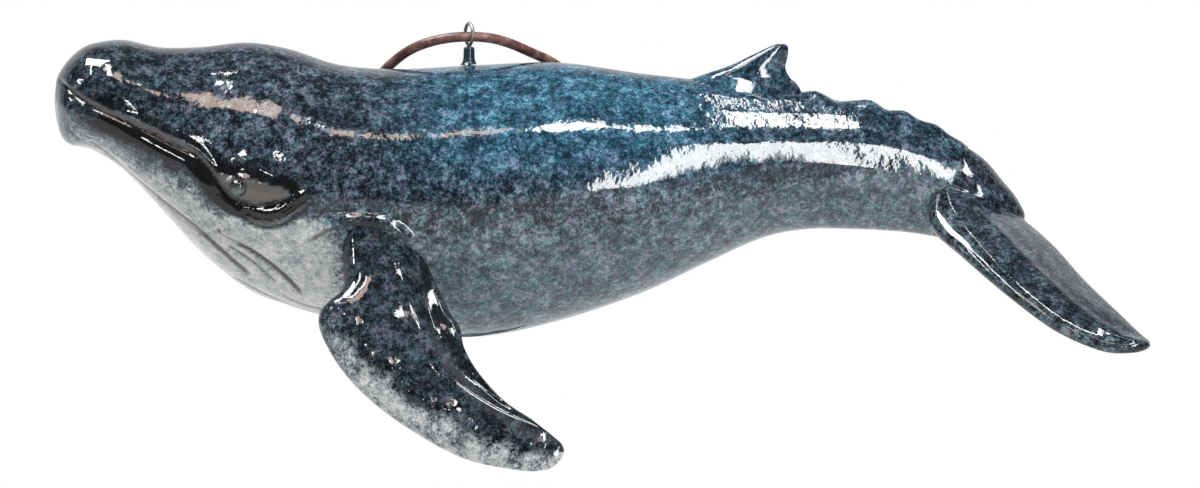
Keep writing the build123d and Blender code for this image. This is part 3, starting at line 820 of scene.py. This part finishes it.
# Left pectoral fin, root to tip: leading and trailing edge as pixels, the
# distance out from the middle plane and the half thickness in mm
fin = {
    "rows": (
        ((338, 215), (415, 235), 20.5, 6.4), ((345, 285), (432, 270), 26.5, 5.8),
        ((321, 314), (451, 309), 31.0, 4.9), ((334, 351), (461, 324), 34.0, 4.3),
        ((363, 387), (466, 345), 36.6, 3.95), ((405, 420), (482, 372), 39.2, 3.4),
        ((463, 452), (510, 401), 41.9, 2.75), ((518, 464), (540, 420), 43.5, 2.0),
        ((545, 464), (559, 435), 44.2, 1.2), ((557, 458), (564, 442), 44.4, 0.7),
        ((562, 452), (564, 447), 44.5, 0.2),
    ),
    "columns": 150, "around": 96,
    # ridge and hollow along the outer face, between two steps through the rows
    "ridgeShares": (0.66, 0.69, 0.72, 0.71, 0.71, 0.75, 0.87, 0.97, 1.0, 1.0, 1.0),
    "ridgeRise": 0.5 * mm, "ridgeWidth": 1.3 * mm,
    "hollow": 0.9 * mm, "hollowBehind": 3.4 * mm, "hollowWidth": 2.2 * mm,
    "ridgeStart": (0.6, 1.6), "ridgeEnd": (6.0, 7.5),
    "tubercles": [fromPhoto(pixel) for pixel in (
        (338, 312), (361, 335), (377, 364), (398, 370), (414, 392), (438, 406), (456, 408), (473, 424),
        (545, 440),
    )],
    "tubercleRise": 0.8 * mm, "tubercleWidth": 2.0 * mm,
    "fullLead": 0.35, "inner": 0.80,
    "tuck": 2.2,              # degrees that the right fin hangs lower
    # line through the tubercles, below which the glaze is pale, and the crease behind the ridge
    "knobLine": makeLine((
        (322, 296), (332, 312), (358, 337), (374, 362), (396, 374), (413, 393), (438, 409), (456, 412),
        (473, 427), (510, 436), (550, 444),
    ), perSpan=3),
    "crease": makeLine((
        (418, 250), (424, 285), (433, 312), (448, 345), (466, 368), (487, 392), (520, 414), (548, 428),
    ), perSpan=3),
    "wobbleScale": 160,
    "streaks": 330, "streakStretch": 0.4, "streakEdges": (-0.25, 0.30),
    "paleReach": (-3.4 * mm, 0.4 * mm), "paleLeast": 0.60,
    "greyStart": (0.0, 0.14), "paleStart": (0.05, 0.40),
    # painted shade ahead of the crease and a painted brown sheen behind it: from, to and softness
    "creaseDark": (0.0, 2.4 * mm, 0.6 * mm), "creaseDarkness": 0.85, "faceDarkness": 0.45,
    "creaseSheen": (-2.2 * mm, -0.6 * mm, 0.9 * mm), "creaseSheenStrength": 0.30, "sheenStart": (0.30, 0.45),
}


def finMasks(place, outer):
    # pale and streaky along the leading edge, with painted shade and a painted brown sheen along the outer
    # crease
    wobble = noise.noise(place * fin["wobbleScale"]) * mm
    knobs = lineHit(fin["knobLine"], place, masking["far"])
    crease = lineHit(fin["crease"], place, masking["far"])
    grain = Vector((place.x * fin["streaks"], 0, place.z * fin["streaks"] * fin["streakStretch"]))
    streak = smoothStep(*fin["streakEdges"], noise.noise(grain))
    low = 1 - smoothStep(*fin["paleReach"], knobs[1] + masking["wobble"] * wobble)
    least = fin["paleLeast"]
    masks = {
        "grey": low * smoothStep(*fin["greyStart"], knobs[2]),
        "pale": low * (least + (1 - least) * streak) * smoothStep(*fin["paleStart"], knobs[2]),
    }
    if outer:
        # painted shade along the crease
        paintedShade = fin["creaseDarkness"] * stripe(crease[1], *fin["creaseDark"])
        masks["dark"] = max(paintedShade, fin["faceDarkness"] * (1 - low))
        # painted brown sheen beside the crease
        run = smoothStep(*fin["sheenStart"], crease[2])
        masks["bare"] = fin["creaseSheenStrength"] * run * stripe(crease[1], *fin["creaseSheen"])
    return masks


def finShape(step, share, side, half, chord, place):
    # the side below 0 faces out, away from the body
    lift = half * abs(side) * (1 + fin["fullLead"] * (1 - 2 * share))
    ridge = blendRows([(value,) for value in fin["ridgeShares"]], step)[0]
    past = (share - ridge) * chord
    if side < 0:
        blade = smoothStep(*fin["ridgeStart"], step) * (1 - smoothStep(*fin["ridgeEnd"], step))
        blade *= min(-side * 2, 1)
        lift += fin["ridgeRise"] * bell(past, fin["ridgeWidth"]) * blade
        lift -= fin["hollow"] * bell(past - fin["hollowBehind"], fin["hollowWidth"]) * blade
        for knob in fin["tubercles"]:
            lift += fin["tubercleRise"] * bell(flatGap(place, knob), fin["tubercleWidth"])
    else:
        lift *= fin["inner"]
    return math.copysign(lift, side), finMasks(place, side < 0)


finRows = []
for leadPixel, trailPixel, out, half in fin["rows"]:
    finRows.append((*fromPhoto(leadPixel, out * mm), *fromPhoto(trailPixel, out * mm), half * mm))
for side, name in ((1, "left"), (-1, "right")):
    bm = bladeForm(finRows, fin["columns"], fin["around"], finShape)
    if side < 0:
        bmesh.ops.scale(bm, vec=(1, -1, 1), verts=bm.verts)
        bmesh.ops.recalc_face_normals(bm, faces=bm.faces)
        hinge = (Vector(finRows[0][:3]) + Vector(finRows[0][3:6])) / 2
        hinge.y *= -1
        turn = Matrix.Rotation(math.radians(fin["tuck"]), 3, "Y")
        bmesh.ops.rotate(bm, cent=hinge, matrix=turn, verts=bm.verts)
    finPiece = meshPiece(name + "PectoralFin", bm, glazeLook)
    ridePiece(finPiece, "dark_glaze", name + "_pectoral_fin")
print("pectoral fins made")

flukes = {
    "reach": 54.0 * mm,       # joint with the body to the tip, along the tail
    "halfSpan": 41.5 * mm,
    "chord": 27.0 * mm,
    "halfThickness": 3.8 * mm,
    "pitch": 41.0,            # degrees below level
    # A lobe from root to tip, as shares of the reach, of the half span, of the
    # half thickness above the tail's line, of the chord and thickness, then the
    # degrees that its leading edge droops
    "lobe": (
        (0.060, 0.060, -0.15, 0.66, 1.10, 24.0), (0.160, 0.200, -0.33, 0.92, 1.08, 33.0),
        (0.325, 0.405, -0.35, 1.00, 0.90, 32.0), (0.530, 0.620, -0.52, 0.90, 0.74, 33.0),
        (0.735, 0.805, -0.46, 0.72, 0.60, 38.0), (0.890, 0.925, -0.09, 0.46, 0.48, 43.0),
        (0.962, 0.975, 0.40, 0.28, 0.36, 40.0), (0.988, 0.992, 0.62, 0.13, 0.20, 38.0),
        (0.996, 0.998, 0.70, 0.04, 0.07, 38.0),
    ),
    "ridgeShare": 0.40,       # of the chord behind the leading edge
    "ridgeRise": 0.45 * mm, "ridgeWidth": 1.6 * mm,
    "fullLead": 0.35, "under": 0.85,
    "columns": 110, "around": 72, "rootColumns": 60, "rootAround": 96,
    "voxel": 0.5 * mm, "settle": 0.5, "settleRounds": 12,
    # leading and trailing edge as the photograph shows them
    "leadLine": makeLine((
        (938, 222), (960, 262), (1000, 298), (1040, 325), (1080, 344), (1120, 352),
    ), perSpan=3),
    "trailLine": makeLine((
        (972, 178), (1000, 205), (1030, 240), (1062, 276), (1100, 306), (1145, 332),
    ), perSpan=3),
    # mottled grey along the leading edge, and a painted grey-brown reflection along the trailing one
    "wobbleScale": 160, "trailWobble": 0.4,
    "mottleScale": 330, "mottleEdges": (-0.25, 0.35), "mottleLeast": 0.35,
    "greyReach": (0.8 * mm, 5.5 * mm), "darkness": 0.25,
    "sheenReach": (0.2 * mm, 0.9 * mm), "sheenStart": (0.2, 0.4), "sheenStrength": 0.25,
    # root between the lobes, as the body's girths
    "root": (
        (0.985, -0.275, 0.958, -0.600, 0.22, 0.50, 1.11),
        (1.006, -0.300, 0.968, -0.626, 0.268, 0.50, 1.11),
        (1.012, -0.308, 0.974, -0.632, 0.28, 0.50, 1.11),
        (1.030, -0.355, 0.995, -0.640, 0.30, 0.50, 1.06),
        (1.0475, -0.425, 1.020, -0.660, 0.28, 0.50, 1.03),
        (1.062, -0.483, 1.045, -0.660, 0.20, 0.50, 1.03),
        (1.073, -0.550, 1.065, -0.620, 0.10, 0.50, 1.03),
    ),
}


def flukeShape(step, share, side, half, chord, place):
    lift = half * side * (1 + flukes["fullLead"] * (1 - 2 * share))
    if side > 0:
        lift += flukes["ridgeRise"] * bell((share - flukes["ridgeShare"]) * chord, flukes["ridgeWidth"]) * side
    else:
        lift *= flukes["under"]
    return lift, {}


def flukeRows():
    # the right lobe's rows, in the plane of the flukes behind the joint
    joint = (sidePoint(*girthRows[-1][:2]) + sidePoint(*girthRows[-1][2:4])) / 2
    pitch = Matrix.Rotation(math.radians(flukes["pitch"]), 3, "Y")
    places = [
        Vector((a * flukes["reach"], y * flukes["halfSpan"], z * flukes["halfThickness"]))
        for a, y, z, chord, thick, droop in flukes["lobe"]
    ]
    last = len(places) - 1
    rows = []
    for index, (a, y, z, chord, thick, droop) in enumerate(flukes["lobe"]):
        along = (places[min(index + 1, last)] - places[max(index - 1, 0)]).normalized()
        level = Vector((along.y, -along.x, 0)).normalized() * math.cos(math.radians(droop))
        half = (level + Vector((0, 0, math.sin(math.radians(droop))))) * chord * flukes["chord"] / 2
        lead, trail = (joint + pitch @ (places[index] + side * half) for side in (-1, 1))
        rows.append((*lead, *trail, thick * flukes["halfThickness"]))
    return rows


bm = bladeForm(flukeRows(), flukes["columns"], flukes["around"], flukeShape)
bmesh.ops.mirror(bm, geom=bm.verts[:] + bm.edges[:] + bm.faces[:], axis="Y", merge_dist=0)
rootForm = wrapGrid(flukes["rootColumns"], flukes["rootAround"])
for vert in rootForm.verts:
    row = blendRows(flukes["root"], vert.co.x * (len(flukes["root"]) - 1))
    turn = 2 * math.pi * vert.co.y
    vert.co = girthPoint(row, turn if turn < math.pi else 2 * math.pi - turn)
    if turn > math.pi:
        vert.co.y *= -1
closeForm(rootForm)
rootMesh = bpy.data.meshes.new("flukeRoot")
rootForm.to_mesh(rootMesh)
rootForm.free()
bm.from_mesh(rootMesh)
bmesh.ops.recalc_face_normals(bm, faces=bm.faces)
# lobes and root kneaded into one skin
rough = meshPiece("roughFlukes", bm, glazeLook)
knead = rough.modifiers.new("knead", "REMESH")
knead.mode = "VOXEL"
knead.voxel_size = flukes["voxel"]
settle = rough.modifiers.new("settle", "SMOOTH")
settle.factor = flukes["settle"]
settle.iterations = flukes["settleRounds"]
bpy.context.view_layer.update()
finished = rough.evaluated_get(bpy.context.evaluated_depsgraph_get())
kneaded = bpy.data.meshes.new_from_object(finished)
bpy.data.objects.remove(rough)
bm = bmesh.new()
bm.from_mesh(kneaded)
addMasks(bm)
for vert in bm.verts:
    wobble = noise.noise(vert.co * flukes["wobbleScale"]) * mm
    lead = lineHit(flukes["leadLine"], vert.co, masking["far"])
    trail = lineHit(flukes["trailLine"], vert.co, masking["far"])
    mottle = smoothStep(*flukes["mottleEdges"], noise.noise(vert.co * flukes["mottleScale"]))
    least = flukes["mottleLeast"]
    grey = 1 - smoothStep(*flukes["greyReach"], lead[0] + wobble)
    # painted grey-brown reflection along the trailing edge
    bare = 1 - smoothStep(*flukes["sheenReach"], trail[0] + flukes["trailWobble"] * wobble)
    setMasks(bm, vert, {
        "grey": grey * (least + (1 - least) * mottle),
        "dark": flukes["darkness"],
        "bare": flukes["sheenStrength"] * bare * smoothStep(*flukes["sheenStart"], trail[2]),
    })
tailFlukes = meshPiece("tailFlukes", bm, glazeLook)
ridePiece(tailFlukes, "dark_glaze", "tail_flukes")
print("flukes made", len(tailFlukes.data.polygons))

for name, look in (
    ("left_eye", eyeLook), ("right_eye", eyeLook), ("wire_eye", wireLook), ("eye_stem", stemLook),
):
    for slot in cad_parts[name].material_slots:
        slot.material = look

# The floor and what lies beyond it are white to the camera; the glaze mirrors a
# white floor and a dim room, pale below and behind the whale
stage = {
    "floorDrop": 0.35, "floorSize": 24.0,
    "floorColor": (0.85, 0.85, 0.85), "floorRoughness": 0.9,
    # from straight below at 0 to straight above at 1
    "room": (
        (0.0, (0.75, 0.75, 0.76)), (0.47, (0.70, 0.70, 0.70)), (0.50, (0.10, 0.11, 0.11)),
        (0.72, (0.07, 0.08, 0.09)), (1.0, (0.16, 0.18, 0.20)),
    ),
    "behind": (0.74, 0.75, 0.76),
    "behindFrom": (0.35, 0.75),      # how far back it is pale
    "behindBelow": (0.80, 0.55),     # and up to what height
}
bm = bmesh.new()
bmesh.ops.create_grid(bm, x_segments=1, y_segments=1, size=stage["floorSize"] / 2)
floorLook = plainMaterial("paleFloor", stage["floorColor"], stage["floorRoughness"])
floorTree = floorLook.node_tree
rays = floorTree.nodes.new("ShaderNodeLightPath")
white = floorTree.nodes.new("ShaderNodeEmission")
choose = floorTree.nodes.new("ShaderNodeMixShader")
direct = mathNode(floorTree, "MAXIMUM", rays.outputs["Is Camera Ray"], rays.outputs["Is Transmission Ray"])
direct = mathNode(floorTree, "MAXIMUM", direct, rays.outputs["Is Glossy Ray"])
floorTree.links.new(direct, choose.inputs["Fac"])
floorTree.links.new(floorTree.nodes["Principled BSDF"].outputs[0], choose.inputs[1])
floorTree.links.new(white.outputs[0], choose.inputs[2])
floorTree.links.new(choose.outputs[0], floorTree.nodes["Material Output"].inputs["Surface"])
floor = meshPiece("floor", bm, floorLook)
floor.location = (0, 0, view["target"].z - stage["floorDrop"])

world = bpy.data.worlds.new("studio")
bpy.context.scene.world = world
world.use_nodes = True
worldTree = world.node_tree
worldTree.nodes.clear()
direction = worldTree.nodes.new("ShaderNodeTexCoord").outputs["Generated"]
split = worldTree.nodes.new("ShaderNodeSeparateXYZ")
worldTree.links.new(direction, split.inputs[0])


def worldStep(source, low, high):
    node = worldTree.nodes.new("ShaderNodeMapRange")
    node.interpolation_type = "SMOOTHSTEP"
    worldTree.links.new(source, node.inputs["Value"])
    node.inputs["From Min"].default_value = low
    node.inputs["From Max"].default_value = high
    return node.outputs["Result"]


backward = worldStep(split.outputs["Y"], *stage["behindFrom"])
below = worldStep(split.outputs["Z"], *stage["behindBelow"])
behind = mathNode(worldTree, "MULTIPLY", backward, below)
lift = mathNode(worldTree, "ADD", mathNode(worldTree, "MULTIPLY", split.outputs["Z"], 0.5), 0.5)
room = rampNode(worldTree, stage["room"], lift)
room = mixColor(worldTree, behind, room, stage["behind"])
roomLight = worldTree.nodes.new("ShaderNodeBackground")
worldTree.links.new(room, roomLight.inputs["Color"])
plainWhite = worldTree.nodes.new("ShaderNodeBackground")
plainWhite.inputs["Color"].default_value = (1, 1, 1, 1)
worldRays = worldTree.nodes.new("ShaderNodeLightPath")
worldMix = worldTree.nodes.new("ShaderNodeMixShader")
worldOut = worldTree.nodes.new("ShaderNodeOutputWorld")
worldTree.links.new(worldRays.outputs["Is Camera Ray"], worldMix.inputs["Fac"])
worldTree.links.new(roomLight.outputs[0], worldMix.inputs[1])
worldTree.links.new(plainWhite.outputs[0], worldMix.inputs[2])
worldTree.links.new(worldMix.outputs[0], worldOut.inputs["Surface"])


def hangLamp(name, place, turn, width, height, radiance, tint=(1, 1, 1)):
    data = bpy.data.lights.new(name, "AREA")
    data.shape = "RECTANGLE"
    data.size, data.size_y = width, height
    data.energy = radiance * math.pi * width * height
    data.color = tint
    lamp = bpy.data.objects.new(name, data)
    lamp.matrix_world = Matrix.Translation(place) @ turn.to_4x4()
    lamp.visible_camera = False
    bpy.context.scene.collection.objects.link(lamp)
    return lamp


# Soft light from boxes that the glaze doesn't mirror, aimed at the whale: azimuth
# from the camera's side and elevation in degrees, distance, width, height, radiance
softBoxes = {"skyBox": (0, 72, 1.6, 1.6, 0.9, 5.8), "frontBox": (12, 32, 2.0, 1.0, 0.8, 6.0)}
for name, (azimuth, elevation, distance, width, height, radiance) in softBoxes.items():
    turn, up = math.radians(azimuth), math.radians(elevation)
    away = Vector((math.sin(turn) * math.cos(up), -math.cos(turn) * math.cos(up), math.sin(up)))
    aim = (-away).to_track_quat("-Z", "Y").to_matrix()
    lamp = hangLamp(name, view["target"] + away * distance, aim, width, height, radiance)
    lamp.visible_glossy = False

# Bright panes that the glaze mirrors, with no part in the soft light: directions
# that one runs from and to, its breadth in degrees, and its brightness. The near
# ones hang close to a place on the back.
panes = {
    "distance": 3.0, "radiance": 24.0,
    "nearDistance": 0.6, "nearAt": fromPhoto((752, 112), 12 * mm),
    "white": (
        ((-0.31, -0.87, 0.38), (-0.25, -0.88, 0.40), 3.6, 1.2),
        ((0.14, -0.58, 0.80), (0.29, -0.42, 0.86), 7.0, 1.0),
        ((0.385, -0.92, 0.00), (0.425, -0.66, 0.63), 5.2, 0.85),
        ((0.448, -0.89, 0.02), (0.478, -0.62, 0.62), 0.35, 0.85),
        ((-0.60, 0.20, 0.77), (-0.24, -0.12, 0.96), 19.0, 1.0),
        ((-0.20, -0.16, 0.97), (-0.30, -0.56, 0.77), 4.0, 1.0),
        ((-0.46, -0.16, 0.87), (-0.62, -0.44, 0.65), 4.0, 1.0),
        ((-0.90, -0.20, 0.38), (-0.93, -0.05, 0.36), 3.0, 1.0),
    ),
    "near": (
        ((0.341, -0.40, 0.84), (0.266, -0.02, 0.96), 2.0, 1.0),
        ((0.246, 0.02, 0.965), (0.171, 0.40, 0.90), 0.6, 1.0),
        ((0.360, -0.36, 0.86), (0.328, -0.20, 0.925), 1.1, 1.0),
    ),
    "beige": (
        ((-0.23, -0.60, 0.77), (-0.10, -0.44, 0.89), 7.5, 0.42),
        ((-0.02, -0.575, 0.82), (0.06, -0.54, 0.84), 4.5, 0.42),
    ),
    "tints": {"white": (1.0, 1.0, 1.0), "near": (1.0, 1.0, 1.0), "beige": (1.0, 0.76, 0.62)},
}


def hangPane(kind, number, start, end, breadth, brightness):
    near = kind == "near"
    distance = panes["nearDistance"] if near else panes["distance"]
    center = panes["nearAt"] if near else view["target"]
    start, end = (Vector(way).normalized() * distance for way in (start, end))
    middle = (start + end) / 2
    facing, along = middle.normalized(), (end - start).normalized()
    turn = Matrix((along, facing.cross(along), facing)).transposed()
    pane = hangLamp(
        kind + "Pane" + str(number), center + middle, turn, (end - start).length,
        distance * math.radians(breadth), brightness * panes["radiance"], panes["tints"][kind],
    )
    pane.visible_diffuse = False


for kind in ("white", "near", "beige"):
    for number, pane in enumerate(panes[kind]):
        hangPane(kind, number, *pane)
print("stage set")
